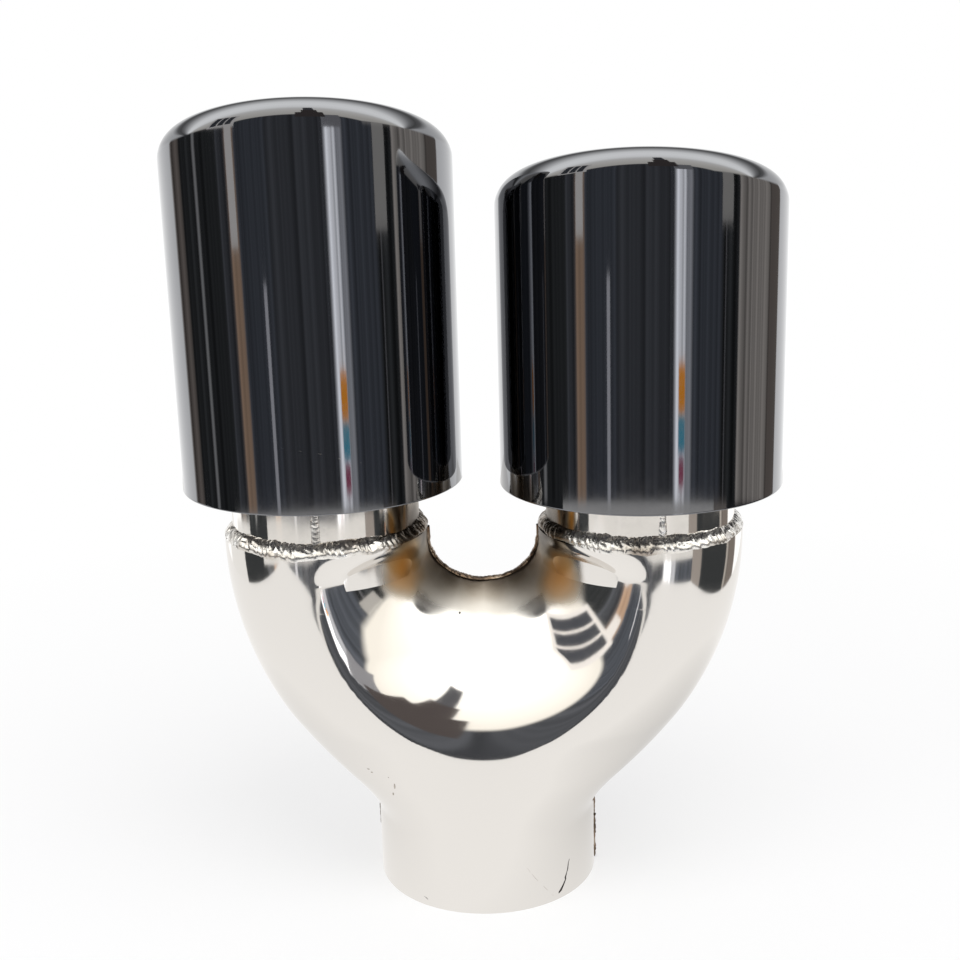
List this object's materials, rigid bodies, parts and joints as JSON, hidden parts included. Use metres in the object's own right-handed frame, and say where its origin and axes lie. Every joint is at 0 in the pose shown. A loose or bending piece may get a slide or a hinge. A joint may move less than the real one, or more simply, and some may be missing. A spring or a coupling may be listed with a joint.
{
  "type": "exhaust tip",
  "caption": "Welded Y collector with short stub tubes and black slash-cut double-wall outlets, slipped over a tail pipe.",
  "frame": {"origin": "centre of the inlet's end face", "axes": "+Z along the inlet axis towards the mouths, +X towards the shorter tip, -Y the side with the longer edge of the mouths"},
  "size_m": [0.2168, 0.1016, 0.2879],
  "materials": {
    "polished_steel": "polished stainless steel",
    "weld_metal": "as-welded bead, lightly tinted",
    "black_chrome": "polished black chrome",
    "dark_steel": "dark inner sheet"
  },
  "bodies": {
    "root": {"y_shell_front": "polished_steel", "y_shell_rear": "polished_steel", "seam_weld_left": "weld_metal", "seam_weld_right": "weld_metal", "neck_weld_bead": "weld_metal", "crotch_weld": "weld_metal", "stub_left": "polished_steel", "stub_right": "polished_steel", "stub_seam_weld_left": "weld_metal", "stub_seam_weld_right": "weld_metal", "collar_weld_left": "weld_metal", "collar_weld_right": "weld_metal", "tip_outer_left": "black_chrome", "tip_outer_right": "black_chrome", "tip_inner_left": "dark_steel", "tip_inner_right": "dark_steel", "tip_plate_left": "dark_steel", "tip_plate_right": "dark_steel", "plate_weld_left": "weld_metal", "plate_weld_right": "weld_metal"}
  },
  "joints": []
}
